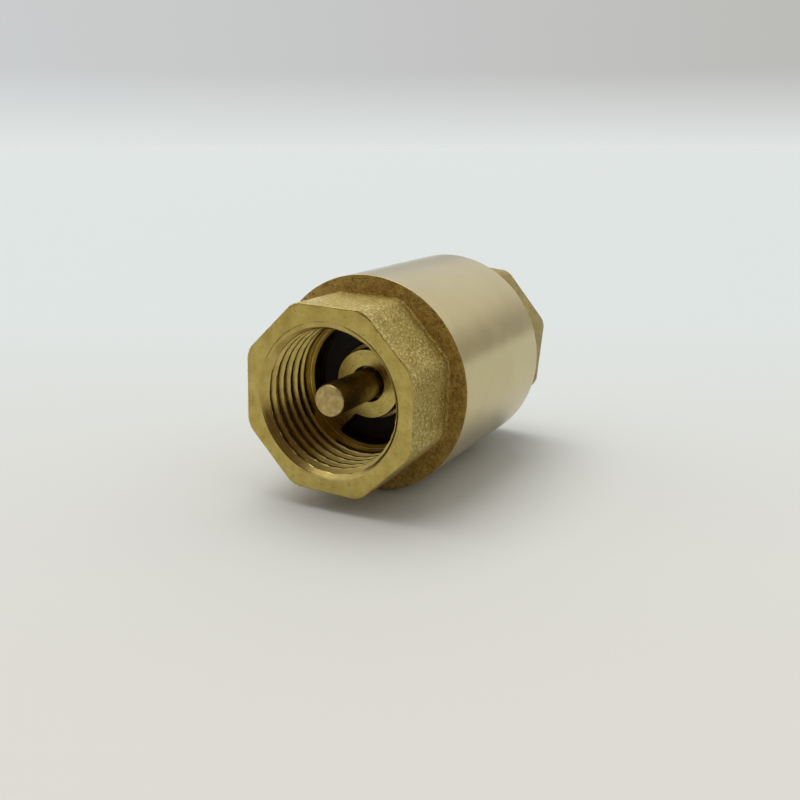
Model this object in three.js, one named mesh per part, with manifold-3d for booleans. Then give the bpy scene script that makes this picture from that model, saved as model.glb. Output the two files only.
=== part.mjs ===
// Inline spring check valve with female pipe threads at both ends, lying on its barrel.
// Units are millimetres. +X is the flow direction, from the inlet to the outlet, and +Z is up.
// The origin is under the middle of the valve, on the surface it lies on.
// A "station" is a distance along the flow axis from the inlet face.

import * as THREE from "three";
import { mergeVertices } from "three/addons/utils/BufferGeometryUtils.js";
import Module from "manifold-3d";

const wasm = await Module();
wasm.setup();

// Overall
const LENGTH = 49; // inlet face to outlet face
const BARREL_R = 16; // turned barrel, the widest part
const OCTAGON_AF = 26.3; // across the wrench flats, both ends
const OCTAGON_CORNER_R = 14.02; // the rounded corners lie on this circle
const FACE_CHAMFER_R = 13.8; // circle that the turned chamfer leaves on an end face
const FACE_CHAMFER_SLOPE = 0.6; // axial over radial
const INLET_OCTAGON_LEN = 11;
const OUTLET_OCTAGON_LEN = 10;
const INLET_OCTAGON_TURN = 2; // degrees about +X, from flats facing +Y and +Z
const OUTLET_OCTAGON_TURN = 5.5;
const EDGE_BREAK = 0.25; // chamfer on turned outside edges

// Pipe thread in both ports, nominal half inch, 14 turns per inch
const PIPE_PITCH = 1.814;
const PIPE_MINOR_R = 9.94; // over the thread's crests, and the plain bore behind it
const PIPE_MAJOR_R = 11.0;
const PIPE_CREST = 0.41; // flat left between two grooves
const PIPE_ROOT = 0.3; // flat at the bottom of a groove
const PIPE_MOUTH_R = 11.05; // countersink at the end face
const PIPE_MOUTH_LEN = 1.11; // depth at which the countersink meets the thread's crests
const PIPE_THREAD_END = 9.4; // the thread ends here and the bore runs on plain
const PIPE_PHASE = 1.66; // station of a groove on the +Y side
const WEB_DEPTH = 11.3; // end face to the flat face of the guide web

// Guide webs
const THROAT_R = 9.18; // flow opening through the web
const WEB_LEN = 1.8;
const SPOKE_W = 3.9;
const SPOKE_TURN = -45; // degrees about +X, from a spoke lying along +Y
const INLET_HUB_R = 5.17;
const INLET_HOLE_R = 2.62;
const OUTLET_HUB_R = 5.8;
const OUTLET_HOLE_R = 2.25;
const BOSS_R = 3.9; // guide boss inside the spring

// Seat and cap
const SEAT_STATION = 14.2;
const SEAT_LIP_R = 9.98;
const SEAT_LIP_H = 0.5;
const FLANGE_LEN = 2.5; // cap flange, turned flush with the barrel
const SPIGOT_R = 14;
const SPIGOT_END = 20.5;
const SPIGOT_BORE_R = 12.2;

// Body chamber
const CHAMBER_R = 12.8;
const CHAMBER_SHOULDER = 21.3;
const CHAMBER_END = 34.2;
const LIFT = 6; // full travel of the poppet

// Poppet
const STEM_R = 2.3;
const STEM_START = 0.6;
const STEM_CHAMFER = 0.2;
const TAIL_R = 2;
const TAIL_END = 38.2;
const RETAINER_R = 5.65;
const RETAINER_T = 0.8;
const SEAL_R = 10.6;
const SEAL_T = 2;
const PLATE_R = 10.3;
const PLATE_T = 2.2;
const NUT_AF = 7;
const NUT_T = 2.4;
const NUT_CHAMFER = 0.35;

// Spring
const WIRE_R = 0.5;
const SPRING_R = 4.9; // to the middle of the wire
const SPRING_END_TURNS = 1; // closed turns at each end
const SPRING_ACTIVE_TURNS = 5.5;

// Fits
const AXIAL_GAP = 0.02; // between faces that touch
const RADIAL_GAP = 0.05; // between pieces screwed or pressed on one another
const STOP_GAP = 0.1; // left between nut and boss at full travel

// Fineness
const TURN_STEPS = 48; // sides of a turned surface
const STEM_STEPS = 24;
const WIRE_STEPS = 8;
const SPRING_STEPS = 16; // per turn
const OVERRUN = 1; // how far a cutter runs past the face it cuts
const WELD = 1e-4;

const OUTLET_WEB_STATION = LENGTH - WEB_DEPTH - WEB_LEN;
const SEAL_STATION = SEAT_STATION;
const RETAINER_STATION = SEAL_STATION - RETAINER_T;
const PLATE_STATION = SEAL_STATION + SEAL_T;
const NUT_STATION = PLATE_STATION + PLATE_T;
const BOSS_STATION = NUT_STATION + NUT_T + LIFT + STOP_GAP;
const FLANGE_END = INLET_OCTAGON_LEN + FLANGE_LEN;
const OUTLET_OCTAGON_STATION = LENGTH - OUTLET_OCTAGON_LEN;
const PIPE_MOUTH_SLOPE = (PIPE_MOUTH_R - PIPE_MINOR_R) / PIPE_MOUTH_LEN;
const PIPE_MOUTH_OUTER_R = PIPE_MOUTH_R + OVERRUN * PIPE_MOUTH_SLOPE;

// ---- geometry helpers ----

function solidFrom(geometry) {
  const bare = geometry.clone();
  bare.deleteAttribute("normal");
  bare.deleteAttribute("uv");
  const merged = mergeVertices(bare, WELD);
  const mesh = new wasm.Mesh({
    numProp: 3,
    vertProperties: merged.attributes.position.array,
    triVerts: new Uint32Array(merged.index.array),
  });
  return new wasm.Manifold(mesh);
}

function geometryFrom(solid) {
  const mesh = solid.getMesh();
  const geometry = new THREE.BufferGeometry();
  geometry.setAttribute("position", new THREE.BufferAttribute(mesh.vertProperties, 3));
  geometry.setIndex(new THREE.BufferAttribute(mesh.triVerts, 1));
  const faceted = geometry.toNonIndexed();
  faceted.computeVertexNormals();
  return faceted;
}

// Revolves [station, radius] points about the flow axis. The points run with the metal on the
// axis side as the station grows, and they start and end on the axis or close on themselves.
// Radii are to the middle of the flats. Turn is where the first flat faces, in degrees from +Y.
function turned(points, steps = TURN_STEPS, turn = 0) {
  const toCorner = 1 / Math.cos(Math.PI / steps);
  const profile = points.map(([station, radius]) => new THREE.Vector2(radius * toCorner, station));
  const firstCorner = THREE.MathUtils.degToRad(turn - 90) + Math.PI / steps;
  const geometry = new THREE.LatheGeometry(profile, steps, firstCorner);
  geometry.rotateZ(-Math.PI / 2);
  return solidFrom(geometry);
}

function disc(start, end, radius, steps = TURN_STEPS, turn = 0) {
  const points = [[start, 0], [start, radius], [end, radius], [end, 0]];
  return turned(points, steps, turn);
}

function washer(start, end, radius, holeRadius, steps = TURN_STEPS) {
  const hole = disc(start - OVERRUN, end + OVERRUN, holeRadius, STEM_STEPS);
  return disc(start, end, radius, steps).subtract(hole);
}

// Sweeps a closed [radius, station] outline round the flow axis while it moves along the axis.
function helixSweep(outline, stationAt, turns, stepsPerTurn) {
  const rings = Math.round(turns * stepsPerTurn) + 1;
  const sides = outline.length;
  const positions = [];
  for (let ring = 0; ring < rings; ring += 1) {
    const turn = ring / stepsPerTurn;
    const angle = (turn + 0.5 / stepsPerTurn) * 2 * Math.PI;
    for (const [radius, offset] of outline) {
      positions.push(stationAt(turn) + offset, radius * Math.cos(angle), radius * Math.sin(angle));
    }
  }
  const index = [];
  for (let ring = 0; ring < rings - 1; ring += 1) {
    for (let side = 0; side < sides; side += 1) {
      const a = ring * sides + side;
      const b = ring * sides + ((side + 1) % sides);
      index.push(a, b, a + sides, b, b + sides, a + sides);
    }
  }
  const last = (rings - 1) * sides;
  for (let side = 1; side < sides - 1; side += 1) {
    index.push(0, side + 1, side);
    index.push(last, last + side, last + side + 1);
  }
  const geometry = new THREE.BufferGeometry();
  geometry.setAttribute("position", new THREE.Float32BufferAttribute(positions, 3));
  geometry.setIndex(index);
  return solidFrom(geometry);
}

// ---- shared features ----

// Right-hand V groove that cuts the pipe thread between two stations. It starts on the +Y side.
function threadCutter(start, end) {
  const crestHalf = (PIPE_PITCH - PIPE_CREST) / 2;
  const rootHalf = PIPE_ROOT / 2;
  const inner = PIPE_MINOR_R - PIPE_ROOT;
  const toCorner = 1 / Math.cos(Math.PI / TURN_STEPS);
  const outline = [
    [inner, -crestHalf],
    [inner, crestHalf],
    [PIPE_MINOR_R * toCorner, crestHalf],
    [PIPE_MAJOR_R * toCorner, rootHalf],
    [PIPE_MAJOR_R * toCorner, -rootHalf],
    [PIPE_MINOR_R * toCorner, -crestHalf],
  ];
  const first = PIPE_PHASE + Math.ceil((start - PIPE_PHASE) / PIPE_PITCH) * PIPE_PITCH;
  const turns = (end - first) / PIPE_PITCH;
  return helixSweep(outline, (turn) => first + turn * PIPE_PITCH, turns, TURN_STEPS);
}

// Bore of a port, from an end face to the guide web. Distances in the profile are from the face.
function inletPort() {
  return turned([
    [-OVERRUN, 0],
    [-OVERRUN, PIPE_MOUTH_OUTER_R],
    [PIPE_MOUTH_LEN, PIPE_MINOR_R],
    [WEB_DEPTH, PIPE_MINOR_R],
    [WEB_DEPTH, 0],
  ]);
}

function outletPort() {
  return turned([
    [LENGTH - WEB_DEPTH, 0],
    [LENGTH - WEB_DEPTH, PIPE_MINOR_R],
    [LENGTH - PIPE_MOUTH_LEN, PIPE_MINOR_R],
    [LENGTH + OVERRUN, PIPE_MOUTH_OUTER_R],
    [LENGTH + OVERRUN, 0],
  ]);
}

// The two openings between a hub and the throat wall, parted by a spoke on each side.
function webWindows(start, end, hubRadius) {
  const spoke = new THREE.BoxGeometry(end - start + 2 * OVERRUN, 4 * THROAT_R, SPOKE_W);
  spoke.rotateX(THREE.MathUtils.degToRad(SPOKE_TURN));
  spoke.translate((start + end) / 2, 0, 0);
  const hub = disc(start - OVERRUN, end + OVERRUN, hubRadius);
  return disc(start, end, THROAT_R).subtract(hub).subtract(solidFrom(spoke));
}

// The octagon between two stations, chamfered at the end face and rounded off at its corners.
function chamferedOctagon(start, end, faceStation, turn) {
  const prism = disc(start, end, OCTAGON_AF / 2, 8, turn);
  const inward = faceStation === start ? 1 : -1;
  const chamferLen = (OCTAGON_CORNER_R - FACE_CHAMFER_R) * FACE_CHAMFER_SLOPE;
  const faceEnd = faceStation - inward * OVERRUN;
  const rootEnd = inward > 0 ? end + OVERRUN : start - OVERRUN;
  const points = [
    [faceEnd, 0],
    [faceEnd, FACE_CHAMFER_R - OVERRUN / FACE_CHAMFER_SLOPE],
    [faceStation + inward * chamferLen, OCTAGON_CORNER_R],
    [rootEnd, OCTAGON_CORNER_R],
    [rootEnd, 0],
  ];
  return prism.intersect(turned(inward > 0 ? points : points.reverse()));
}

// ---- the pieces ----

function inletCap() {
  const octagon = chamferedOctagon(0, FLANGE_END - EDGE_BREAK, 0, INLET_OCTAGON_TURN);
  const turnedPart = turned([
    [INLET_OCTAGON_LEN, 0],
    [INLET_OCTAGON_LEN, BARREL_R],
    [FLANGE_END, BARREL_R],
    [FLANGE_END, SPIGOT_R],
    [SPIGOT_END - EDGE_BREAK, SPIGOT_R],
    [SPIGOT_END, SPIGOT_R - EDGE_BREAK],
    [SPIGOT_END, 0],
  ]);
  const floor = SEAT_STATION - SEAT_LIP_H;
  const poppetSpace = turned([
    [WEB_DEPTH + WEB_LEN, 0],
    [WEB_DEPTH + WEB_LEN, THROAT_R],
    [SEAT_STATION, THROAT_R],
    [SEAT_STATION, SEAT_LIP_R],
    [floor, SEAT_LIP_R],
    [floor, SPIGOT_BORE_R],
    [SPIGOT_END + OVERRUN, SPIGOT_BORE_R],
    [SPIGOT_END + OVERRUN, 0],
  ]);
  const windowEnd = WEB_DEPTH + WEB_LEN + EDGE_BREAK;
  return octagon
    .add(turnedPart)
    .subtract(inletPort())
    .subtract(threadCutter(-PIPE_PITCH, PIPE_THREAD_END))
    .subtract(webWindows(WEB_DEPTH - EDGE_BREAK, windowEnd, INLET_HUB_R))
    .subtract(disc(WEB_DEPTH - OVERRUN, windowEnd, INLET_HOLE_R, STEM_STEPS))
    .subtract(poppetSpace);
}

function outletBody() {
  const octagon = chamferedOctagon(
    OUTLET_OCTAGON_STATION - EDGE_BREAK,
    LENGTH,
    LENGTH,
    OUTLET_OCTAGON_TURN,
  );
  const start = FLANGE_END + RADIAL_GAP;
  const barrel = turned([
    [start, 0],
    [start, BARREL_R],
    [OUTLET_OCTAGON_STATION - EDGE_BREAK, BARREL_R],
    [OUTLET_OCTAGON_STATION, BARREL_R - EDGE_BREAK],
    [OUTLET_OCTAGON_STATION, 0],
  ]);
  const coneLen = OUTLET_WEB_STATION - CHAMBER_END;
  const chamber = turned([
    [start - OVERRUN, 0],
    [start - OVERRUN, SPIGOT_R + RADIAL_GAP],
    [CHAMBER_SHOULDER, SPIGOT_R + RADIAL_GAP],
    [CHAMBER_SHOULDER, CHAMBER_R],
    [CHAMBER_END, CHAMBER_R],
    [OUTLET_WEB_STATION, CHAMBER_R - coneLen],
    [OUTLET_WEB_STATION, 0],
  ]);
  const boss = disc(BOSS_STATION, OUTLET_WEB_STATION + OVERRUN, BOSS_R, STEM_STEPS);
  const windowStart = OUTLET_WEB_STATION - EDGE_BREAK;
  const windowEnd = OUTLET_WEB_STATION + WEB_LEN + EDGE_BREAK;
  return octagon
    .add(barrel)
    .subtract(chamber.subtract(boss))
    .subtract(outletPort())
    .subtract(threadCutter(LENGTH - PIPE_THREAD_END, LENGTH + PIPE_PITCH))
    .subtract(webWindows(windowStart, windowEnd, OUTLET_HUB_R))
    .subtract(disc(BOSS_STATION - OVERRUN, windowEnd, OUTLET_HOLE_R, STEM_STEPS));
}

function bodySealRing() {
  const start = SPIGOT_END + AXIAL_GAP;
  const end = CHAMBER_SHOULDER - AXIAL_GAP;
  const hole = disc(start - OVERRUN, end + OVERRUN, CHAMBER_R);
  return disc(start, end, SPIGOT_R - RADIAL_GAP).subtract(hole);
}

function stem() {
  return turned(
    [
      [STEM_START, 0],
      [STEM_START, STEM_R - STEM_CHAMFER],
      [STEM_START + STEM_CHAMFER, STEM_R],
      [RETAINER_STATION - AXIAL_GAP, STEM_R],
      [RETAINER_STATION - AXIAL_GAP, TAIL_R],
      [TAIL_END - STEM_CHAMFER, TAIL_R],
      [TAIL_END, TAIL_R - STEM_CHAMFER],
      [TAIL_END, 0],
    ],
    STEM_STEPS,
  );
}

function sealRetainer() {
  return washer(RETAINER_STATION, SEAL_STATION - AXIAL_GAP, RETAINER_R, TAIL_R + RADIAL_GAP);
}

function sealWasher() {
  const start = SEAL_STATION + AXIAL_GAP;
  return washer(start, PLATE_STATION - AXIAL_GAP, SEAL_R, TAIL_R + RADIAL_GAP);
}

function poppetPlate() {
  const outside = turned([
    [PLATE_STATION, 0],
    [PLATE_STATION, PLATE_R],
    [NUT_STATION - EDGE_BREAK, PLATE_R],
    [NUT_STATION, PLATE_R - EDGE_BREAK],
    [NUT_STATION, 0],
  ]);
  const hole = disc(PLATE_STATION - OVERRUN, NUT_STATION + OVERRUN, TAIL_R + RADIAL_GAP, STEM_STEPS);
  return outside.subtract(hole);
}

function lockNut() {
  const start = NUT_STATION + AXIAL_GAP;
  const end = NUT_STATION + NUT_T;
  const cornerR = NUT_AF / 2 / Math.cos(Math.PI / 6);
  const rounded = turned(
    [
      [start, 0],
      [start, cornerR],
      [end - NUT_CHAMFER / 2, cornerR],
      [end, cornerR - NUT_CHAMFER],
      [end, 0],
    ],
    STEM_STEPS,
  );
  const hole = disc(start - OVERRUN, end + OVERRUN, TAIL_R + RADIAL_GAP, STEM_STEPS);
  return disc(start, end, NUT_AF / 2, 6).intersect(rounded).subtract(hole);
}

// The end turns lie nearly closed and the turns between share the rest of the length.
function spring() {
  const wire = [];
  for (let side = 0; side < WIRE_STEPS; side += 1) {
    const angle = (side / WIRE_STEPS) * 2 * Math.PI;
    wire.push([SPRING_R + WIRE_R * Math.cos(angle), -WIRE_R * Math.sin(angle)]);
  }
  const first = NUT_STATION + AXIAL_GAP + WIRE_R;
  const last = OUTLET_WEB_STATION - AXIAL_GAP - WIRE_R;
  const closedPitch = 2 * WIRE_R + RADIAL_GAP;
  const closedLen = SPRING_END_TURNS * closedPitch;
  const activePitch = (last - first - 2 * closedLen) / SPRING_ACTIVE_TURNS;
  const turns = SPRING_ACTIVE_TURNS + 2 * SPRING_END_TURNS;
  const stationAt = (turn) => {
    const active = THREE.MathUtils.clamp(turn - SPRING_END_TURNS, 0, SPRING_ACTIVE_TURNS);
    return first + (turn - active) * closedPitch + active * activePitch;
  };
  return helixSweep(wire, stationAt, turns, SPRING_STEPS);
}

// ---- materials and assembly ----

function metal(name, color, roughness) {
  return new THREE.MeshStandardMaterial({ name, color, roughness, metalness: 1 });
}

const turnedBrass = metal("turned_brass", 0xc9b47a, 0.28);
const castBrass = metal("cast_brass", 0xb08f3c, 0.55);
const steel = metal("spring_steel", 0xa9abad, 0.3);
const rubber = new THREE.MeshStandardMaterial({
  name: "seal_rubber",
  color: 0x1c1813,
  roughness: 0.8,
  metalness: 0,
});

const valve = new THREE.Group();
valve.position.set(-LENGTH / 2, 0, BARREL_R);

function addPiece(name, solid, material) {
  const mesh = new THREE.Mesh(geometryFrom(solid), material.clone());
  mesh.name = name;
  valve.add(mesh);
}

addPiece("inlet_cap", inletCap(), castBrass);
addPiece("outlet_body", outletBody(), turnedBrass);
addPiece("body_seal_ring", bodySealRing(), rubber);
addPiece("stem", stem(), turnedBrass);
addPiece("seal_retainer", sealRetainer(), turnedBrass);
addPiece("seal_washer", sealWasher(), rubber);
addPiece("poppet_plate", poppetPlate(), turnedBrass);
addPiece("lock_nut", lockNut(), turnedBrass);
addPiece("spring", spring(), steel);

export default valve;
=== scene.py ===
"""Visual model of an inline spring check valve lying on its barrel.

Sizes are in millimetres and turned into metres as meshes are built. A "station" is a distance along
the flow axis (+X) from the inlet face, and a "ring" is one loop of points round that axis.
"""

import math

import bmesh
import bpy
import numpy as np
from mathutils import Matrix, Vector, noise


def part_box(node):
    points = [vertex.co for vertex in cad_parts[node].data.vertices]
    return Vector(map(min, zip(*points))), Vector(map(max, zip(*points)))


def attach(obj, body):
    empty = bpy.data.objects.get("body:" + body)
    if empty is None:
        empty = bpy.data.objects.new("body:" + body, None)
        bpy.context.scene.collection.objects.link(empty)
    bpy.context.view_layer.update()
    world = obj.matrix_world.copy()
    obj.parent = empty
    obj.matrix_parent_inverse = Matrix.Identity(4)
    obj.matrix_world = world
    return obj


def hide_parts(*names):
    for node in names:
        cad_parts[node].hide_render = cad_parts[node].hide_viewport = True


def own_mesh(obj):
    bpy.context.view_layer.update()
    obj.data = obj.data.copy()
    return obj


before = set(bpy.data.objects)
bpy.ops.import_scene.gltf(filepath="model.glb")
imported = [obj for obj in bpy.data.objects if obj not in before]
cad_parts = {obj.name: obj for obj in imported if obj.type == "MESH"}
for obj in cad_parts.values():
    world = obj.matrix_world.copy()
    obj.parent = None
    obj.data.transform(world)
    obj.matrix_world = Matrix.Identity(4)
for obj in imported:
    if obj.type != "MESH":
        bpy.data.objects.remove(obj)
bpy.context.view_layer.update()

MM = 0.001

# ---- places taken from the frame ----

cap_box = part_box("inlet_cap")
body_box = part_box("outlet_body")
INLET_X = cap_box[0][0]
AXIS_Z = (cap_box[0][2] + cap_box[1][2]) / 2
LENGTH = (body_box[1][0] - INLET_X) / MM
BARREL_R = (body_box[1][1] - body_box[0][1]) / 2 / MM


def station(node, end):
    """Station of the low (0) or high (1) end of a CAD node."""
    return (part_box(node)[end][0] - INLET_X) / MM


def radius(node):
    """Radius of a round CAD node."""
    low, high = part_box(node)
    return (high[1] - low[1]) / 2 / MM


# ---- driving dimensions, mm ----

OCTAGON_AF = 26.3  # across the wrench flats, both ends
OCTAGON_CORNER_R = 2.5
FACE_CHAMFER_R = 13.8  # circle that the turned chamfer leaves on an end face
FACE_CHAMFER_SLOPE = 0.6  # axial over radial
INLET_OCTAGON_LEN = 11.0
OUTLET_OCTAGON_LEN = 10.0
INLET_TURN = math.radians(2.0)
OUTLET_TURN = math.radians(5.5)
ROOT_FILLET = 0.35  # where the wrench flats meet the shoulder
ROOT_GROOVE = 0.2  # depth by which the flats fall away before it
ROOT_GROOVE_LEN = 1.2
FLAT_STEP = 0.2  # between rings along the wrench flats
FILLET_SPLIT = 1.0  # angle round the fillet, in radians, at which the darker shoulder starts

EDGE_R = 0.12
COLLAR_EDGE_R = 0.06
SEAM_EDGE_R = 0.008
BARREL_EDGE_R = 0.15
BORE_EDGE_R = 0.15
SPIGOT_EDGE_R = 0.12
CHAMBER_EDGE_R = 0.2
HOLE_EASE = 0.12
WINDOW_EASE = 0.1
CREST_BLEND = 0.06  # softens the crests and roots of the pipe thread

PIPE_PITCH = 1.814
PIPE_MINOR_R = 9.94  # over the thread's crests, and the plain bore behind it
PIPE_MAJOR_R = 11.0
PIPE_MOUTH_R = 11.05
PIPE_ROOT = 0.3  # flat at the bottom of a groove
PIPE_THREAD_END = 9.4
PIPE_RUN_OUT = 0.8  # length over which the grooves fade into the bore
PIPE_PHASE = 1.66  # station of a groove on the +Y side
FLANK = math.tan(math.radians(27.5))
WEB_DEPTH = 11.3  # end face to the flat of the guide web
WEB_LEN = 1.8

THROAT_R = 9.18
SPOKE_W = 3.9
SPOKE_TURN = math.radians(-45)
WINDOW_FILLET = 0.55
INLET_HUB_R = 5.17
INLET_HOLE_R = 2.62
OUTLET_HUB_R = 5.8
OUTLET_HOLE_R = 2.25
BOSS_R = 3.9
BOSS_START = 26.9

SEAT_STATION = 14.2
SEAT_LIP_R = 9.98
SEAT_LIP_H = 0.5
FLANGE_END = 13.5
SEAM = 0.006  # parting line between cap and barrel
SPIGOT_R = 14.0
SPIGOT_END = 20.5
SPIGOT_BORE_R = 12.2
CHAMBER_R = 12.8
CHAMBER_SHOULDER = 21.3
CHAMBER_END = 34.2
JOINT_PITCH = 1.0
JOINT_DEPTH = 0.5

STEM_R = 2.3
TAIL_R = 2.0
WIRE_R = 0.5
SPRING_R = 4.9
SPRING_ACTIVE_TURNS = 5.5
NUT_AF = 7.0
RING_GAP = 0.05  # between the tail and the pieces on it

# ---- fineness ----

COLUMNS = 360
CORNER_COLUMNS = 19
CORNER_SPREAD = np.radians(4.5)
THREAD_ROW = 0.06
WEB_RINGS = (1.5, 3.2, 5.0, 7.0, 9.0, 9.9)
FACE_SHARES = (0.08, 0.3, 0.6, 0.85, 0.97)
SHOULDER_SHARES = (0.2, 0.45, 0.7, 0.9)
CHAMFER_DEPTHS = (0.0, 0.02, 0.05, 0.08, 0.12, 0.18, 0.26, 0.36, 0.5)

# Material slots of the cap's and the body's skins
SLOT_COUNT = 6
# The last slot holds the painted shade of the guide hole and window walls
FACED, CAST, BARREL, BORED, COLLAR, SHADED_PIERCED = range(SLOT_COUNT)

# ---- mesh helpers ----


def place(points):
    """Millimetre (station, y, z) points about the flow axis, as metres in the row frame."""
    placed = np.asarray(points, float) * MM
    return placed + np.array([INLET_X, 0.0, AXIS_Z])


def angles_for(turn=None):
    """Column angles: even, and closer together at the corners of an octagon turned by turn."""
    even = np.arange(COLUMNS) * 2 * math.pi / COLUMNS
    if turn is None:
        return even
    corners = turn + math.pi / 8 + np.arange(8) * math.pi / 4
    spread = np.linspace(-CORNER_SPREAD, CORNER_SPREAD, CORNER_COLUMNS)
    dense = (corners[:, None] + spread[None, :]).ravel() % (2 * math.pi)
    merged = np.sort(np.concatenate([even, dense]))
    keep = np.diff(np.append(merged, merged[0] + 2 * math.pi)) > 1e-4
    return merged[keep]


class Loft:
    """Rings of points round the flow axis, joined into one closed skin."""

    def __init__(self, angles):
        self.angles = angles
        self.rings = []
        self.slots = []

    def ring(self, at, r, slot=0):
        """Adds a ring. at and r are numbers or one value for each column. slot is the material
        index of the band between this ring and the one before."""
        count = len(self.angles)
        along = np.broadcast_to(at, count).astype(float)
        out = np.broadcast_to(r, count).astype(float)
        self.rings.append((along, out))
        self.slots.append(slot)

    def path(self, points, slot=0):
        for at, r in points:
            self.ring(at, r, slot)

    def flat(self, at, inner, outer, shares, slot):
        """Rings of a flat face at one station, at shares of the way from inner to outer."""
        for share in shares:
            self.ring(at, inner + (outer - inner) * share, slot)

    def build(self, name):
        """An object whose first and last rings are single points on the axis."""
        count = len(self.angles)
        cos, sin = np.cos(self.angles), np.sin(self.angles)
        last = len(self.rings) - 1
        points = [np.stack([at, r * cos, r * sin], axis=1) for at, r in self.rings]
        for end in (0, last):
            points[end] = np.array([[self.rings[end][0][0], 0.0, 0.0]])
        starts = [0] + [1 + index * count for index in range(last)]
        faces = []
        slots = []
        step = np.arange(count)
        after = (step + 1) % count
        for index in range(1, last + 1):
            a, b = starts[index - 1], starts[index]
            if index == 1:
                band = np.stack([np.full(count, a), b + step, b + after], axis=1)
            elif index == last:
                band = np.stack([a + step, np.full(count, b), a + after], axis=1)
            else:
                band = np.stack([a + step, b + step, b + after, a + after], axis=1)
            faces.extend(band.tolist())
            slots.extend([self.slots[index]] * count)
        return new_object(name, place(np.concatenate(points)), faces, slots)


def new_object(name, points, faces, slots=None):
    """A linked object from points in metres. slots gives each face's material index."""
    mesh = bpy.data.meshes.new(name)
    mesh.from_pydata([tuple(p) for p in points], [], faces)
    for _ in range(SLOT_COUNT):
        mesh.materials.append(None)
    if slots is not None:
        mesh.polygons.foreach_set("material_index", slots)
    piece = bpy.data.objects.new(name, mesh)
    bpy.context.collection.objects.link(piece)
    clean_up(mesh)
    return piece


def clean_up(mesh):
    """Merges points that meet, drops faces with no area and turns every face outwards."""
    work = bmesh.new()
    work.from_mesh(mesh)
    bmesh.ops.remove_doubles(work, verts=work.verts, dist=1e-8)
    bmesh.ops.dissolve_degenerate(work, edges=work.edges, dist=1e-8)
    bmesh.ops.recalc_face_normals(work, faces=work.faces)
    work.to_mesh(mesh)
    work.free()


def shade(piece, degrees=32.0):
    """Smooth shading, with sharp edges where faces meet at more than this angle."""
    mesh = piece.data
    mesh.polygons.foreach_set("use_smooth", [True] * len(mesh.polygons))
    mesh.set_sharp_from_angle(angle=math.radians(degrees))
    mesh.update()


def rounded(points, corner_r, steps=5):
    """An open [station, radius] outline with its inner corners rounded by arcs."""
    pts = [np.array(p, float) for p in points]
    out = [pts[0]]
    for before, here, after in zip(pts, pts[1:], pts[2:]):
        inward = before - here
        onward = after - here
        reach_in, reach_on = np.linalg.norm(inward), np.linalg.norm(onward)
        inward, onward = inward / reach_in, onward / reach_on
        half = math.acos(float(np.clip(inward @ onward, -1, 1))) / 2
        cut = min(corner_r / math.tan(half), 0.45 * reach_in, 0.45 * reach_on)
        r = cut * math.tan(half)
        middle = here + (inward + onward) / np.linalg.norm(inward + onward) * (r / math.sin(half))
        first, last = here + inward * cut - middle, here + onward * cut - middle
        turn = math.atan2(first[0] * last[1] - first[1] * last[0], float(first @ last))
        for share in np.linspace(0, 1, steps):
            c, s = math.cos(turn * share), math.sin(turn * share)
            out.append(middle + np.array([c * first[0] - s * first[1], s * first[0] + c * first[1]]))
    out.append(pts[-1])
    return [tuple(p) for p in out]


def cut(piece, cutter):
    """Subtracts cutter from piece and removes the cutter."""
    modifier = piece.modifiers.new("cut", "BOOLEAN")
    modifier.operation = "DIFFERENCE"
    modifier.solver = "MANIFOLD"
    modifier.object = cutter
    apply_modifiers(piece)
    bpy.data.objects.remove(cutter)


def apply_modifiers(piece):
    """Bakes the modifiers into the mesh, which keeps its material slots."""
    graph = bpy.context.evaluated_depsgraph_get()
    finished = bpy.data.meshes.new_from_object(piece.evaluated_get(graph))
    piece.modifiers.clear()
    piece.data = finished


def smooth_min(a, b, blend):
    """The lower of two values, with the change from one to the other softened over blend."""
    share = np.clip(0.5 + 0.5 * (b - a) / blend, 0, 1)
    return b * (1 - share) + a * share - blend * share * (1 - share)


def smooth_max(a, b, blend):
    return -smooth_min(-np.asarray(a), -np.asarray(b), blend)


# ---- shapes shared by both ends ----


def octagon_radius(angles, turn):
    """Distance from the axis to a round-cornered octagon."""
    half = OCTAGON_AF / 2
    off = np.abs((angles - turn + math.pi / 8) % (math.pi / 4) - math.pi / 8)
    centre = (half - OCTAGON_CORNER_R) / math.cos(math.pi / 8)
    from_corner = math.pi / 8 - off
    flat = half / np.cos(off)
    inside = np.clip(OCTAGON_CORNER_R**2 - (centre * np.sin(from_corner)) ** 2, 0, None)
    arc = centre * np.cos(from_corner) + np.sqrt(inside)
    on_flat = np.tan(off) * half <= (half - OCTAGON_CORNER_R) * math.tan(math.pi / 8)
    return np.where(on_flat, flat, arc)


def thread_radius(angles, at):
    """Distance from the axis to the right-hand female pipe thread at one station."""
    turns = (at - PIPE_PHASE) / PIPE_PITCH - angles / (2 * math.pi)
    from_groove = np.abs((turns + 0.5) % 1 - 0.5) * PIPE_PITCH
    flank = PIPE_MAJOR_R - (from_groove - PIPE_ROOT / 2) / FLANK
    groove = smooth_min(flank, PIPE_MAJOR_R, CREST_BLEND)
    return smooth_max(groove, PIPE_MINOR_R, CREST_BLEND)


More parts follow.
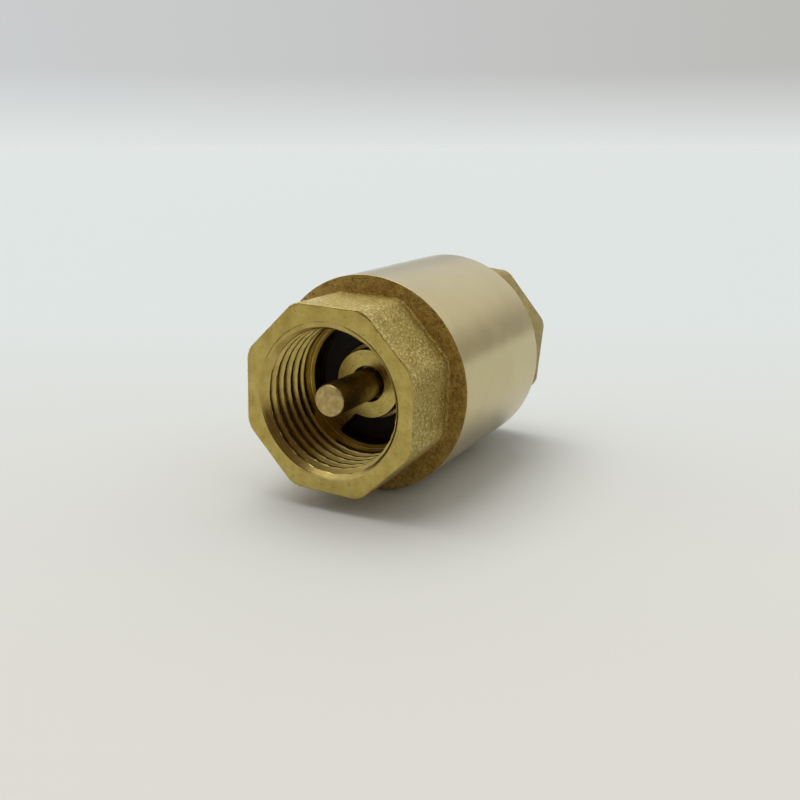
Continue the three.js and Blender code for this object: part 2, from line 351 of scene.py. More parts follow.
def port_rings(loft, face, inward):
    """Rings from the flat of the web, along the bore and its thread, to the mouth at an end face.
    inward is +1 where stations grow into the port and -1 where they fall."""
    corner = [(WEB_DEPTH, 5.0), (WEB_DEPTH, PIPE_MINOR_R), (WEB_DEPTH - 1, PIPE_MINOR_R)]
    for depth, r in rounded(corner, BORE_EDGE_R)[1:]:
        loft.ring(face + inward * depth, r, BORED)
    top = PIPE_THREAD_END + PIPE_RUN_OUT / 2
    for depth in np.linspace(top, 0, int(round(top / THREAD_ROW)) + 1):
        here = face + inward * depth
        share = min(1.0, (top - depth) / PIPE_RUN_OUT)
        thread = PIPE_MINOR_R + (thread_radius(loft.angles, here) - PIPE_MINOR_R) * share
        mouth = PIPE_MOUTH_R - depth + max(EDGE_R - depth, 0) * 0.5  # 45 degrees, eased at its rim
        loft.ring(here, smooth_max(thread, mouth, 0.04), BORED)


def octagon_rings(loft, face, inward, turn, root):
    """Rings from the mouth over the end face and down the octagon to its root. Returns the radius
    at which the fillet meets the shoulder."""
    side = octagon_radius(loft.angles, turn)
    rim = np.minimum(side, FACE_CHAMFER_R)
    loft.flat(face, PIPE_MOUTH_R, rim - EDGE_R, FACE_SHARES, FACED)
    for depth in CHAMFER_DEPTHS:
        chamfer = FACE_CHAMFER_R + depth / FACE_CHAMFER_SLOPE
        near = max(EDGE_R - depth, 0)
        easing = EDGE_R - math.sqrt(max(EDGE_R**2 - near**2, 0))
        r = smooth_min(side, chamfer, 0.06) - easing
        loft.ring(face + inward * depth, r, FACED if depth <= 0.05 else CAST)
    start, end = CHAMFER_DEPTHS[-1], abs(root - face) - ROOT_FILLET
    for depth in np.arange(start, end, FLAT_STEP)[1:]:
        into = max(0.0, depth - end + ROOT_GROOVE_LEN) / ROOT_GROOVE_LEN
        wave = surface_wave(loft.angles, depth, face) * min(1.0, depth - start)
        groove = ROOT_GROOVE * (1 - math.cos(math.pi * min(1.0, into))) / 2
        loft.ring(face + inward * depth, side + wave - groove, CAST)
    low = side - ROOT_GROOVE
    for angle in np.radians([0, 15, 30, 45, 60, 75, 90]):
        r = low + ROOT_FILLET * (1 - math.cos(angle))
        slot = COLLAR if angle > FILLET_SPLIT else CAST
        loft.ring(root - inward * ROOT_FILLET * (1 - math.sin(angle)), r, slot)
    return low + ROOT_FILLET


def surface_wave(angles, depth, seed, size=1.9, height=0.035):
    """Slight unevenness of a cast surface, in mm."""
    r = OCTAGON_AF / 2
    spots = [Vector((depth / size, r * math.cos(a) / size, r * math.sin(a) / size + seed)) for a in angles]
    return np.array([noise.noise(spot) for spot in spots]) * height


def window_outline(hub, throat, half_width, fillet, steps=10):
    """Outline of one web window, on the side where v is positive, as (u, v) points."""
    reach = hub + fillet
    line_in = math.sqrt(reach**2 - (half_width + fillet) ** 2)
    start = math.atan2(half_width + fillet, line_in)
    far_reach = throat - fillet
    line_out = math.sqrt(far_reach**2 - (half_width + fillet) ** 2)
    end = math.atan2(half_width + fillet, line_out)
    points = []
    for angle in np.linspace(math.pi - start, start, 6 * steps):
        points.append((hub * math.cos(angle), hub * math.sin(angle)))
    for angle in np.linspace(start + math.pi, 1.5 * math.pi, steps)[1:]:
        points.append((line_in + fillet * math.cos(angle), half_width + fillet * (1 + math.sin(angle))))
    for angle in np.linspace(-math.pi / 2, end, steps):
        points.append((line_out + fillet * math.cos(angle), half_width + fillet * (1 + math.sin(angle))))
    for angle in np.linspace(end, math.pi - end, 10 * steps)[1:-1]:
        points.append((throat * math.cos(angle), throat * math.sin(angle)))
    for angle in np.linspace(math.pi - end, 1.5 * math.pi, steps):
        points.append((-line_out + fillet * math.cos(angle), half_width + fillet * (1 + math.sin(angle))))
    for angle in np.linspace(-math.pi / 2, -start, steps)[:-1]:
        points.append((-line_in + fillet * math.cos(angle), half_width + fillet * (1 + math.sin(angle))))
    return np.array(points)


def window_cutter(turn, hub, front, back):
    """A prism through the web whose ends flare, so that it leaves eased edges on both faces."""
    rim = WINDOW_EASE + 0.02
    levels = [
        (front - 0.4, rim, rim / 2),
        (front - 0.001, WINDOW_EASE, WINDOW_EASE / 2),
        (front + WINDOW_EASE, 0.0, 0.0),
        (back - WINDOW_EASE, 0.0, 0.0),
        (back, WINDOW_EASE, 0.0),
        (back + 0.3, rim, 0.0),
    ]
    loops = []
    for at, grow, throat_grow in levels:
        outline = window_outline(hub - grow, THROAT_R + throat_grow, SPOKE_W / 2 - grow, WINDOW_FILLET)
        u, v = outline[:, 0], outline[:, 1]
        y = u * math.cos(turn) - v * math.sin(turn)
        z = u * math.sin(turn) + v * math.cos(turn)
        loops.append(np.stack([np.full(len(y), at), y, z], axis=1))
    count = len(loops[0])
    faces = [list(range(count)), list(range((len(loops) - 1) * count, len(loops) * count))[::-1]]
    for level in range(len(loops) - 1):
        for i in range(count):
            a, b = level * count + i, level * count + (i + 1) % count
            faces.append([a, b, b + count, a + count])
    # Its faces take the slot of the painted shade, so the window walls come out dark
    return new_object("window", place(np.concatenate(loops)), faces, [SHADED_PIERCED] * len(faces))


def guide_hole(front, back, r):
    """A round cutter with eased ends."""
    wide = r + HOLE_EASE
    points = [
        (front - 1, 0),
        (front - 1, wide),
        (front - 0.001, wide),
        (front + HOLE_EASE, r),
        (back - HOLE_EASE, r),
        (back, wide),
        (back + 1, wide),
        (back + 1, 0),
    ]
    # Its faces take the slot of the painted shade, so the hole's wall comes out dark
    return turned_object("hole", points, slot=SHADED_PIERCED)


def pierce_web(piece, hub, front, back, hole_start, hole_r):
    """Cuts both windows of a web and the stem's guide hole."""
    for side in (0, 1):
        cut(piece, window_cutter(SPOKE_TURN + side * math.pi, hub, front, back))
    cut(piece, guide_hole(hole_start, back, hole_r))


def turned_object(name, points, columns=128, slot=0):
    """Revolves an open [station, radius] outline that starts and ends on the axis."""
    loft = Loft(np.arange(columns) * 2 * math.pi / columns)
    loft.path(points, slot)
    return loft.build(name)


def joint_thread_rings(loft, start, end, base, outward):
    """A fine screw thread between two stations on a spigot (outward +1) or in a bore (-1)."""
    rows = int(round(abs(end - start) / (JOINT_PITCH / 10)))
    for at in np.linspace(start, end, rows + 1):
        turns = at / JOINT_PITCH - loft.angles / (2 * math.pi)
        wave = np.abs((turns + 0.5) % 1 - 0.5) * 2
        fade = min(1.0, abs(at - start) / JOINT_PITCH, abs(end - at) / JOINT_PITCH)
        loft.ring(at, base - outward * JOINT_DEPTH * fade * wave, BORED)


# ---- the pieces ----


def build_inlet_cap():
    loft = Loft(angles_for(INLET_TURN))
    loft.ring(WEB_DEPTH, 0, FACED)
    for r in WEB_RINGS:
        loft.ring(WEB_DEPTH, r, FACED)
    port_rings(loft, 0.0, 1)
    root_r = octagon_rings(loft, 0.0, 1, INLET_TURN, INLET_OCTAGON_LEN)
    loft.flat(INLET_OCTAGON_LEN, root_r, BARREL_R - EDGE_R, SHOULDER_SHARES, COLLAR)
    flange = rounded(
        [(INLET_OCTAGON_LEN, BARREL_R - 1), (INLET_OCTAGON_LEN, BARREL_R), (FLANGE_END, BARREL_R)],
        COLLAR_EDGE_R,
    )
    for at, r in flange[1:4]:
        loft.ring(at, r, COLLAR)
    for at, r in flange[4:-1]:
        loft.ring(at, r, BARREL)
    flange_rings = (INLET_OCTAGON_LEN + 0.12, INLET_OCTAGON_LEN + 0.8, FLANGE_END - 0.8, FLANGE_END - 0.04)
    for at in flange_rings:
        loft.ring(at, BARREL_R, BARREL)
    corner = [(FLANGE_END - 1, BARREL_R), (FLANGE_END, BARREL_R), (FLANGE_END, SPIGOT_R)]
    loft.path(rounded(corner, SEAM_EDGE_R)[1:-1], BARREL)
    loft.ring(FLANGE_END, SPIGOT_R - JOINT_DEPTH, BORED)
    joint_thread_rings(loft, FLANGE_END + 0.6, SPIGOT_END - 0.4, SPIGOT_R - 0.02, 1)
    floor = SEAT_STATION - SEAT_LIP_H
    inside = rounded(
        [
            (SPIGOT_END - 0.4, SPIGOT_R - 0.02),
            (SPIGOT_END, SPIGOT_R - 0.4),
            (SPIGOT_END, SPIGOT_BORE_R),
            (floor, SPIGOT_BORE_R),
            (floor, SEAT_LIP_R),
            (SEAT_STATION, SEAT_LIP_R),
            (SEAT_STATION, THROAT_R),
            (WEB_DEPTH + WEB_LEN, THROAT_R),
            (WEB_DEPTH + WEB_LEN, 0),
        ],
        SPIGOT_EDGE_R,
        4,
    )
    loft.path(inside[1:], BORED)
    cap = loft.build("inlet_cap_skin")
    pierce_web(cap, INLET_HUB_R, WEB_DEPTH, WEB_DEPTH + WEB_LEN, WEB_DEPTH, INLET_HOLE_R)
    return cap


def build_outlet_body():
    loft = Loft(angles_for(OUTLET_TURN))
    web_out = LENGTH - WEB_DEPTH
    web_in = web_out - WEB_LEN
    loft.ring(web_out, 0, FACED)
    for r in WEB_RINGS:
        loft.ring(web_out, r, FACED)
    port_rings(loft, LENGTH, -1)
    root = LENGTH - OUTLET_OCTAGON_LEN
    root_r = octagon_rings(loft, LENGTH, -1, OUTLET_TURN, root)
    loft.flat(root, root_r, BARREL_R - BARREL_EDGE_R, SHOULDER_SHARES, COLLAR)
    start = FLANGE_END + SEAM
    shoulder = rounded([(root, BARREL_R - 1), (root, BARREL_R), (root - 2, BARREL_R)], BARREL_EDGE_R, 7)
    loft.path(shoulder[1:-1], BARREL)
    loft.ring(root - BARREL_EDGE_R - 0.1, BARREL_R, BARREL)
    for at in np.linspace(root - 1, start + 1, 12):
        loft.ring(at, BARREL_R, BARREL)
    loft.ring(start + 0.04, BARREL_R, BARREL)
    mouth = rounded([(start + 2, BARREL_R), (start, BARREL_R), (start, SPIGOT_R + 0.1)], SEAM_EDGE_R)
    loft.path(mouth[1:], BARREL)
    joint_thread_rings(loft, start + 0.3, CHAMBER_SHOULDER - 1.6, SPIGOT_R + 0.03, -1)
    inside = rounded(
        [
            (CHAMBER_SHOULDER - 1.6, SPIGOT_R + 0.03),
            (CHAMBER_SHOULDER, SPIGOT_R + 0.03),
            (CHAMBER_SHOULDER, CHAMBER_R),
            (CHAMBER_END, CHAMBER_R),
            (web_in, CHAMBER_R - (web_in - CHAMBER_END)),
            (web_in, BOSS_R),
            (BOSS_START, BOSS_R),
            (BOSS_START, 0),
        ],
        CHAMBER_EDGE_R,
        4,
    )
    loft.path(inside[1:], BORED)
    body = loft.build("outlet_body_skin")
    pierce_web(body, OUTLET_HUB_R, web_in, web_out, BOSS_START, OUTLET_HOLE_R)
    return body


def build_stem():
    start, end = station("stem", 0), station("stem", 1)
    shoulder = station("seal_retainer", 0) - 0.02
    outline = rounded(
        [
            (start, 0),
            (start, STEM_R - 0.16),
            (start + 0.2, STEM_R),
            (shoulder, STEM_R),
            (shoulder, TAIL_R),
            (end - 0.2, TAIL_R),
            (end, TAIL_R - 0.2),
            (end, 0),
        ],
        0.05,
        4,
    )
    return turned_object("stem_rod", outline, 96)


def build_ring(name, node, hole, edge, columns=160):
    """A washer the size of its CAD node, with eased edges."""
    start, end = station(node, 0), station(node, 1)
    outer = min(radius(node), BARREL_R)
    outline = [(start, hole), (start, outer), (end, outer), (end, hole)]
    loop = rounded([outline[-1]] + outline + [outline[0]], edge, 4)
    return closed_ring(name, loop[1:-1], columns)


def closed_ring(name, loop, columns):
    """Revolves a closed [station, radius] loop."""
    angles = np.arange(columns) * 2 * math.pi / columns
    count = len(loop)
    points = [(at, r * math.cos(a), r * math.sin(a)) for a in angles for at, r in loop]
    faces = []
    for i in range(columns):
        for j in range(count):
            a, b = i * count, ((i + 1) % columns) * count
            k = (j + 1) % count
            faces.append([a + j, a + k, b + k, b + j])
    return new_object(name, place(points), faces)


def build_nut():
    """A hexagon nut with one chamfered end."""
    start, end = station("lock_nut", 0), station("lock_nut", 1)
    columns = 180
    loft = Loft(np.arange(columns) * 2 * math.pi / columns)
    half = NUT_AF / 2
    off = np.abs((loft.angles + math.pi / 6) % (math.pi / 3) - math.pi / 6)
    side = smooth_min(half / np.cos(off), half / math.cos(math.pi / 6) - 0.03, 0.08)
    loft.ring(start, 0)
    loft.ring(start, side - 0.1)
    loft.ring(start + 0.1, side)
    for depth in (0.35, 0.28, 0.2, 0.12, 0.05, 0.0):
        loft.ring(end - depth, smooth_min(side, half + 0.12 + depth * 1.6, 0.06))
    loft.ring(end, half * 0.8)
    loft.ring(end, 0)
    nut = loft.build("lock_nut_hex")
    cut(nut, guide_hole(start, end, TAIL_R + RING_GAP))
    return nut


def build_spring():
    """A compression spring with closed ends, swept round the stem."""
    first = station("lock_nut", 0) + WIRE_R
    last = LENGTH - WEB_DEPTH - WEB_LEN - 0.02 - WIRE_R
    closed = 2 * WIRE_R + 0.05
    active = (last - first - 2 * closed) / SPRING_ACTIVE_TURNS
    turns = SPRING_ACTIVE_TURNS + 2
    rings, sides = int(turns * 64) + 1, 16
    points = []
    for i in range(rings):
        turn = turns * i / (rings - 1)
        busy = min(max(turn - 1, 0), SPRING_ACTIVE_TURNS)
        at = first + (turn - busy) * closed + busy * active
        angle = 2 * math.pi * (turn + 0.03)
        for j in range(sides):
            around = 2 * math.pi * j / sides
            r = SPRING_R + WIRE_R * math.cos(around)
            points.append((at + WIRE_R * math.sin(around), r * math.cos(angle), r * math.sin(angle)))
    faces = [list(range(sides)), list(range((rings - 1) * sides, rings * sides))[::-1]]
    for i in range(rings - 1):
        for j in range(sides):
            a, b = i * sides + j, i * sides + (j + 1) % sides
            faces.append([a, b, b + sides, a + sides])
    return new_object("closing_spring", place(points), faces)


# ---- materials ----


class Nodes:
    """A node tree built up through short calls."""

    def __init__(self, tree):
        self.tree = tree

    def add(self, kind, settings=None, **sockets):
        node = self.tree.nodes.new(kind)
        for key, value in (settings or {}).items():
            setattr(node, key, value)
        for key, value in sockets.items():
            self.set(node.inputs[key.replace("_", " ")], value)
        return node

    def set(self, socket, value):
        if isinstance(value, bpy.types.NodeSocket):
            self.tree.links.new(value, socket)
        else:
            socket.default_value = value

    def math(self, operation, a, b=0.0):
        node = self.tree.nodes.new("ShaderNodeMath")
        node.operation = operation
        self.set(node.inputs[0], a)
        self.set(node.inputs[1], b)
        return node.outputs[0]

    def remap(self, value, low, high, to_low=0.0, to_high=1.0, kind="LINEAR"):
        node = self.add("ShaderNodeMapRange", {"clamp": True, "interpolation_type": kind})
        self.set(node.inputs["Value"], value)
        self.set(node.inputs["From Min"], low)
        self.set(node.inputs["From Max"], high)
        self.set(node.inputs["To Min"], to_low)
        self.set(node.inputs["To Max"], to_high)
        return node.outputs["Result"]

    def mix(self, share, a, b):
        node = self.add("ShaderNodeMix", {"data_type": "RGBA"})
        self.set(node.inputs["Factor"], share)
        self.set(node.inputs["A"], a)
        self.set(node.inputs["B"], b)
        return node.outputs["Result"]

    def noise(self, vector, scale, detail=2.0, roughness=0.5, distortion=0.0):
        node = self.add("ShaderNodeTexNoise")
        self.set(node.inputs["Vector"], vector)
        node.inputs["Scale"].default_value = scale
        node.inputs["Detail"].default_value = detail
        node.inputs["Roughness"].default_value = roughness
        node.inputs["Distortion"].default_value = distortion
        return node.outputs["Fac"]

    def split(self, vector):
        node = self.add("ShaderNodeSeparateXYZ")
        self.set(node.inputs[0], vector)
        return node.outputs


class Material(Nodes):
    def __init__(self, name):
        self.material = bpy.data.materials.new(name)
        self.material.use_nodes = True
        super().__init__(self.material.node_tree)
        self.shader = self.tree.nodes["Principled BSDF"]

    def millimetres(self):
        """Position in the row frame, measured from the inlet end of the flow axis, in mm."""
        place_node = self.add("ShaderNodeTexCoord").outputs["Object"]
        moved = self.add("ShaderNodeVectorMath", {"operation": "SUBTRACT"})
        self.set(moved.inputs[0], place_node)
        moved.inputs[1].default_value = (INLET_X, 0.0, AXIS_Z)
        scaled = self.add("ShaderNodeVectorMath", {"operation": "SCALE"})
        self.set(scaled.inputs[0], moved.outputs[0])
        scaled.inputs["Scale"].default_value = 1 / MM
        return scaled.outputs[0]

    def lathe_vector(self, position, along, around):
        """Vector that changes fast across the tool's path and slowly along it."""
        x, y, z = self.split(position)
        far = self.math("SQRT", self.math("ADD", self.math("MULTIPLY", y, y), self.math("MULTIPLY", z, z)))
        turned_by = self.math("ARCTAN2", z, y)
        joined = self.add("ShaderNodeCombineXYZ")
        self.set(joined.inputs[0], self.math("MULTIPLY", x, along))
        self.set(joined.inputs[1], self.math("MULTIPLY", far, along))
        self.set(joined.inputs[2], self.math("MULTIPLY", self.math("SINE", turned_by), around))
        return joined.outputs[0]

    def bump(self, height, depth_mm, strength=1.0, after=None):
        node = self.add("ShaderNodeBump")
        self.set(node.inputs["Height"], height)
        node.inputs["Distance"].default_value = depth_mm * MM
        node.inputs["Strength"].default_value = strength
        if after is not None:
            self.set(node.inputs["Normal"], after)
        return node.outputs["Normal"]

    def surface(self, **sockets):
        for key, value in sockets.items():
            self.set(self.shader.inputs[key.replace("_", " ")], value)
        return self.material


def cast_brass(name, low, high, painted_glint):
    """Blasted casting: grain over soft mottling between two tones, with painted glints: bright specks
    painted into the colour where the grain stands high.
    """
    m = Material(name)
    at = m.millimetres()
    mottle = m.noise(at, 0.5, 4.0, 0.6)
    grain = m.noise(at, 2.8, 3.0, 0.7)
    speck = m.noise(at, 6.5, 1.0, 0.5)
    tone = m.mix(m.remap(mottle, 0.35, 0.68), low, high)
    tone = m.mix(m.remap(grain, 0.49, 0.35, 0.0, 0.6), tone, (0.18, 0.12, 0.02, 1))
    # Painted glints: bright specks in the colour stand in for light sparkling on the grain
    tone = m.mix(m.remap(grain, 0.54, 0.64, 0.0, 0.9), tone, painted_glint)
    rough = m.remap(speck, 0.35, 0.65, 0.3, 0.5)
    normal = m.bump(grain, 0.38, 1.0)
    normal = m.bump(speck, 0.07, 0.8, normal)
    return m.surface(Base_Color=tone, Metallic=1.0, Roughness=rough, Normal=normal)


def collar_brass():
    """As-cast shoulder behind the wrench flats, darkened by its skin."""
    m = Material("collar_brass")
    at = m.millimetres()
    mottle = m.noise(at, 0.7, 3.0, 0.6)
    grain = m.noise(at, 2.4, 3.0, 0.7)
    tone = m.mix(m.remap(mottle, 0.35, 0.65), (0.38, 0.245, 0.065, 1), (0.53, 0.365, 0.105, 1))
    tone = m.mix(m.remap(grain, 0.5, 0.36, 0.0, 0.6), tone, (0.14, 0.08, 0.016, 1))
    tone = m.mix(m.remap(grain, 0.57, 0.68, 0.0, 0.5), tone, (0.6, 0.45, 0.16, 1))
    normal = m.bump(grain, 0.25, 1.0)
    return m.surface(Base_Color=tone, Metallic=1.0, Roughness=0.5, Normal=normal)


def barrel_brass():
    """Fine turned barrel: pale and bright, with a few small dents from handling."""
    m = Material("barrel_brass")
    at = m.millimetres()
    lines = m.noise(m.lathe_vector(at, 14.0, 0.4), 1.0, 2.0, 0.6)
    cloud = m.noise(at, 0.16, 3.0, 0.55)
    tone = m.mix(m.remap(cloud, 0.35, 0.65), (0.53, 0.437, 0.218, 1), (0.567, 0.472, 0.244, 1))
    spots = m.noise(at, 1.7, 2.0, 0.6)
    tone = m.mix(m.remap(spots, 0.73, 0.77, 0.0, 0.5), tone, (0.25, 0.18, 0.07, 1))
    rough = m.remap(cloud, 0.3, 0.7, 0.13, 0.2)
    normal = m.bump(lines, 0.001, 0.5)
    normal = m.bump(m.remap(spots, 0.73, 0.77), -0.02, 0.3, normal)
    return m.surface(Base_Color=tone, Metallic=1.0, Roughness=rough, Normal=normal)


def faced_brass():
    """Flat machined faces: yellow, with the tool's concentric lines and small stains."""
    m = Material("faced_brass")
    at = m.millimetres()
    lines = m.noise(m.lathe_vector(at, 7.0, 1.0), 1.0, 3.0, 0.7)
    cloud = m.noise(at, 0.4, 4.0, 0.65)
    tone = m.mix(m.remap(cloud, 0.35, 0.7), (0.42, 0.315, 0.083, 1), (0.565, 0.45, 0.14, 1))
    stain = m.noise(at, 1.1, 4.0, 0.7)
    tone = m.mix(m.remap(stain, 0.57, 0.7, 0.0, 0.6), tone, (0.24, 0.16, 0.035, 1))
    rough = m.remap(lines, 0.3, 0.7, 0.22, 0.36)
    normal = m.bump(lines, 0.006, 0.6)
    return m.surface(Base_Color=tone, Metallic=1.0, Roughness=rough, Normal=normal)


def bored_brass():
    """Bores and threads: bright tool marks with a darker film in places."""
    m = Material("bored_brass")
    at = m.millimetres()
    lines = m.noise(m.lathe_vector(at, 10.0, 2.0), 1.0, 2.0, 0.6)
    cloud = m.noise(at, 0.5, 3.0, 0.6)
    tone = m.mix(m.remap(cloud, 0.35, 0.7), (0.43, 0.315, 0.085, 1), (0.56, 0.435, 0.15, 1))
    rough = m.remap(lines, 0.3, 0.7, 0.2, 0.3)
    normal = m.bump(lines, 0.003, 0.6)
    return m.surface(Base_Color=tone, Metallic=1.0, Roughness=rough, Normal=normal)


def painted_shade_brass():
    """Walls of the guide hole and the web's windows, painted dark brown as shade: the colour stands in for
    the shade deep inside them.
    """
    m = Material("painted_shade_brass")
    at = m.millimetres()
    cloud = m.noise(at, 1.4, 3.0, 0.6)
    # Dark brown painted shade, not the metal's own colour
    tone = m.mix(m.remap(cloud, 0.35, 0.7), (0.1, 0.06, 0.018, 1), (0.2, 0.13, 0.04, 1))
    return m.surface(Base_Color=tone, Metallic=1.0, Roughness=0.5, Normal=m.bump(cloud, 0.05, 0.5))


def stem_brass():
    """Turned rod, scuffed and dulled by use."""
    m = Material("stem_brass")
    at = m.millimetres()
    lines = m.noise(m.lathe_vector(at, 8.0, 1.5), 1.0, 3.0, 0.7)
    scuff = m.noise(at, 1.3, 4.0, 0.7)
    tone = m.mix(m.remap(scuff, 0.4, 0.66), (0.38, 0.27, 0.1, 1), (0.56, 0.45, 0.2, 1))
    rough = m.remap(lines, 0.3, 0.7, 0.3, 0.42)
    normal = m.bump(lines, 0.004, 0.6)
    normal = m.bump(scuff, 0.03, 0.5, normal)
    return m.surface(Base_Color=tone, Metallic=1.0, Roughness=rough, Normal=normal)


def seal_rubber():
    """Matt moulded rubber, not quite black."""
    m = Material("seal_rubber")
    at = m.millimetres()
    grain = m.noise(at, 7.0, 3.0, 0.6)
    tone = m.mix(m.noise(at, 0.8, 3.0, 0.6), (0.012, 0.010, 0.008, 1), (0.028, 0.023, 0.018, 1))
    rough = m.remap(grain, 0.3, 0.7, 0.6, 0.8)
    return m.surface(Base_Color=tone, Metallic=0.0, Roughness=rough, Normal=m.bump(grain, 0.02, 0.5))


def spring_steel():
    """Drawn wire with faint streaks."""
    m = Material("spring_steel")
    at = m.millimetres()
    draw = m.noise(at, 5.0, 3.0, 0.7)
    tone = m.mix(draw, (0.5, 0.5, 0.5, 1), (0.66, 0.65, 0.63, 1))
    rough = m.remap(draw, 0.3, 0.7, 0.2, 0.38)
    return m.surface(Base_Color=tone, Metallic=1.0, Roughness=rough, Normal=m.bump(draw, 0.004, 0.5))


def paint(piece, *materials):
    """Fills the piece's material slots, which its faces already point at, and drops unused ones."""
    slots = piece.data.materials
    for index, material in enumerate(materials):
        slots[index] = material
    while len(slots) > len(materials):
        slots.pop()


# ---- stage: camera, floor and lights ----

CAMERA_AT = (-0.1272, -0.0657, 0.0498)
CAMERA_YAW = 0.48699
CAMERA_PITCH = 0.26881
LENS_MM = 41.85
FLOOR_REACH = 9.0
FLOOR_TINT_FROM, FLOOR_TINT_TO = -0.09, 0.12  # metres ahead of the valve along the camera's heading
BACKDROP_R = 2.8
BACKDROP_H = 3.0
BACKDROP_FROM, BACKDROP_TO = 62, 352  # degrees about +Z, all but the side that the camera faces
BACKDROP_TONE = (0.6, 0.61, 0.61, 1)
FLOOR_FAR = (0.645, 0.68, 0.667, 1)
FLOOR_NEAR = (0.635, 0.614, 0.56, 1)
ROOM_HIGH = (0.87, 0.885, 0.895, 1)
ROOM_LEFT = (0.6, 0.615, 0.62, 1)
ROOM_RIGHT = (0.49, 0.485, 0.465, 1)
ROOM_HORIZON = (0.755, 0.79, 0.78, 1)
ROOM_DARK = (0.12, 0.08, 0.055, 1)
KEY_FROM = (0.1, 0.25, 0.9)
KEY_WIDTH = math.radians(48)
KEY_STRENGTH = 1.45


def aim_camera():
    """Looks down at the valve from past its inlet, on the -Y side."""
    data = bpy.data.cameras.new("camera")
    data.lens = LENS_MM
    data.sensor_width = 36.0
    data.clip_start = 0.005
    camera = bpy.data.objects.new("camera", data)
    camera.location = CAMERA_AT
    camera.rotation_euler = (math.pi / 2 - CAMERA_PITCH, 0, CAMERA_YAW - math.pi / 2)
    bpy.context.collection.objects.link(camera)
    bpy.context.scene.camera = camera


def lay_floor():
    """A wide pale sheet, a little warmer close to the camera."""
    across = np.linspace(-FLOOR_REACH, FLOOR_REACH, 7)
    points = [(x, y, 0.0) for x in across for y in across]
    count = len(across)
    faces = []
    for i in range(count - 1):
        for j in range(count - 1):
            a = i * count + j
            faces.append([a, a + count, a + count + 1, a + 1])
    floor = new_object("floor", points, faces)
    shade(floor)
    m = Material("floor_sheet")
    x, y, _ = m.split(m.add("ShaderNodeTexCoord").outputs["Object"])
    ahead = m.math("MULTIPLY", x, math.cos(CAMERA_YAW))
    ahead = m.math("ADD", ahead, m.math("MULTIPLY", y, math.sin(CAMERA_YAW)))
    tone = m.mix(m.remap(ahead, FLOOR_TINT_FROM, FLOOR_TINT_TO), FLOOR_NEAR, FLOOR_FAR)
    m.surface(Base_Color=tone, Roughness=0.7)
    m.shader.inputs["Specular IOR Level"].default_value = 0.2
    paint(floor, m.material)


def hang_backdrop():
    """A pale curtain far round the other sides. Only the camera sees it, so it adds no light."""
    angles = np.radians(np.linspace(BACKDROP_FROM, BACKDROP_TO, 59))
    points = []
    for angle in angles:
        spot = (BACKDROP_R * math.cos(angle), BACKDROP_R * math.sin(angle))
        points += [(*spot, -0.01), (*spot, BACKDROP_H)]
    faces = [[2 * i, 2 * i + 2, 2 * i + 3, 2 * i + 1] for i in range(len(angles) - 1)]
    backdrop = new_object("backdrop", points, faces)
    m = Material("backdrop_cloth")
    m.surface(Base_Color=(0, 0, 0, 1), Emission_Color=BACKDROP_TONE, Emission_Strength=1.0)
    m.shader.inputs["Specular IOR Level"].default_value = 0.0
    paint(backdrop, m.material)
    backdrop.visible_diffuse = False
    backdrop.visible_glossy = False
    backdrop.visible_transmission = False
    backdrop.visible_shadow = False


def light_room():
    """A soft room: brightest overhead, dimmer low down and to the right, dark past the camera."""
    world = bpy.data.worlds.new("studio")
    world.use_nodes = True
    room = Nodes(world.node_tree)
    x, y, z = room.split(room.add("ShaderNodeTexCoord").outputs["Generated"])
    tone = room.mix(room.remap(y, 0.0, 0.8), ROOM_RIGHT, ROOM_LEFT)
    tone = room.mix(room.remap(z, 0.15, 0.42, kind="SMOOTHSTEP"), tone, ROOM_HIGH)
    tone = room.mix(room.remap(z, 0.07, -0.005), tone, ROOM_HORIZON)
    low = room.math("MULTIPLY", room.remap(x, -0.5, -0.8), room.remap(z, 0.7, 0.45))
    near = room.math("MULTIPLY", room.remap(x, -0.25, -0.45), room.remap(y, 0.3, 0.1))
    near = room.math("MULTIPLY", near, room.remap(z, 0.97, 0.88))
    tone = room.mix(room.math("MAXIMUM", low, near), tone, ROOM_DARK)
    room.set(world.node_tree.nodes["Background"].inputs["Color"], tone)
    bpy.context.scene.world = world


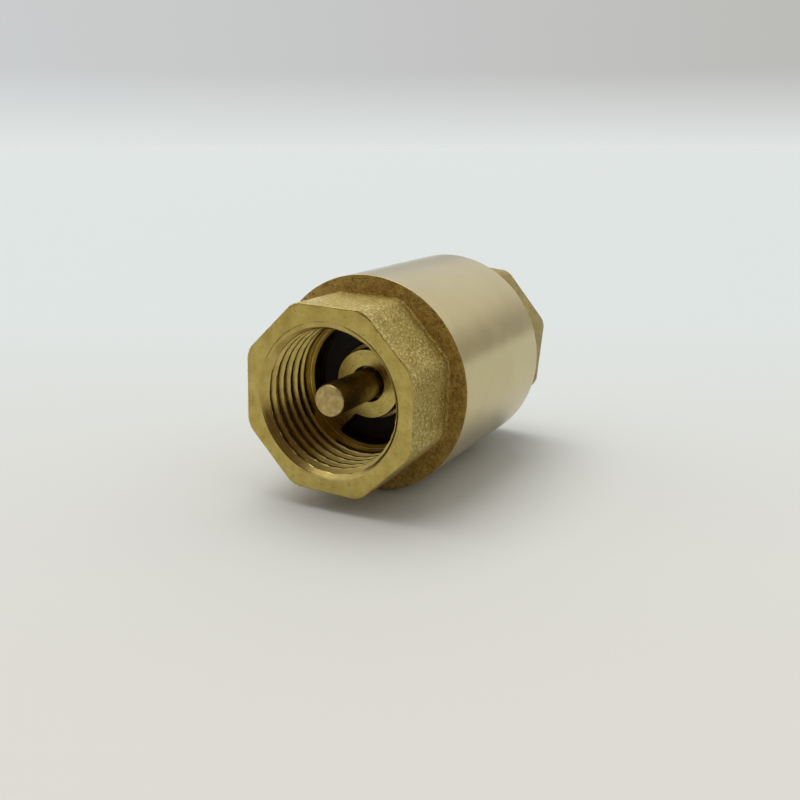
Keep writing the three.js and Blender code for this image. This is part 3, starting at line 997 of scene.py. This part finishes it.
def light_stage():
    """The room and one wide soft key light from overhead."""
    light_room()
    data = bpy.data.lights.new("key", "SUN")
    data.angle = KEY_WIDTH
    data.energy = KEY_STRENGTH
    key = bpy.data.objects.new("key", data)
    key.rotation_euler = Vector(KEY_FROM).to_track_quat("Z", "Y").to_euler()
    bpy.context.collection.objects.link(key)


# ---- assembly ----

aim_camera()
lay_floor()
hang_backdrop()
light_stage()
bpy.context.scene.view_settings.view_transform = "Standard"

# The third tone of each cast finish is the colour of its painted glints
inlet_cast = cast_brass(
    "cast_brass", (0.42, 0.315, 0.08, 1), (0.54, 0.425, 0.13, 1), (0.88, 0.76, 0.4, 1)
)
# The outlet's cast finish is a darker copy of the inlet's: painted shade on the outlet's wrench flats
shaded_outlet_cast = cast_brass(
    "outlet_cast_brass", (0.31, 0.225, 0.06, 1), (0.42, 0.32, 0.1, 1), (0.56, 0.46, 0.19, 1)
)
shared_metals = [barrel_brass(), bored_brass(), collar_brass(), painted_shade_brass()]
inlet_metals = [faced_brass(), inlet_cast] + shared_metals
outlet_metals = [inlet_metals[FACED], shaded_outlet_cast] + shared_metals
stem_metal, rubber, steel = stem_brass(), seal_rubber(), spring_steel()


def settle(piece, body, nodes, materials, sharp=32.0):
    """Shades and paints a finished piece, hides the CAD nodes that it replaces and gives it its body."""
    shade(piece, sharp)
    paint(piece, *materials)
    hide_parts(*nodes)
    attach(piece, body)
    return piece


settle(build_inlet_cap(), "valve_body", ["inlet_cap"], inlet_metals)
settle(build_outlet_body(), "valve_body", ["outlet_body"], outlet_metals)
body_seal = build_ring("body_seal", "body_seal_ring", CHAMBER_R + 0.02, 0.1)
settle(body_seal, "valve_body", ["body_seal_ring"], [rubber])
settle(build_stem(), "poppet", ["stem"], [stem_metal])
retainer = build_ring("retainer_disc", "seal_retainer", TAIL_R + RING_GAP, 0.06)
settle(retainer, "poppet", ["seal_retainer"], [stem_metal])
seal = build_ring("seal_disc", "seal_washer", TAIL_R + RING_GAP, 0.15)
settle(seal, "poppet", ["seal_washer"], [rubber])
plate = build_ring("plate_disc", "poppet_plate", TAIL_R + RING_GAP, 0.15)
settle(plate, "poppet", ["poppet_plate"], [inlet_metals[BORED]])
settle(build_nut(), "poppet", ["lock_nut"], [stem_metal])
spring = settle(build_spring(), "valve_body", ["spring"], [steel], 60.0)
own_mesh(spring)
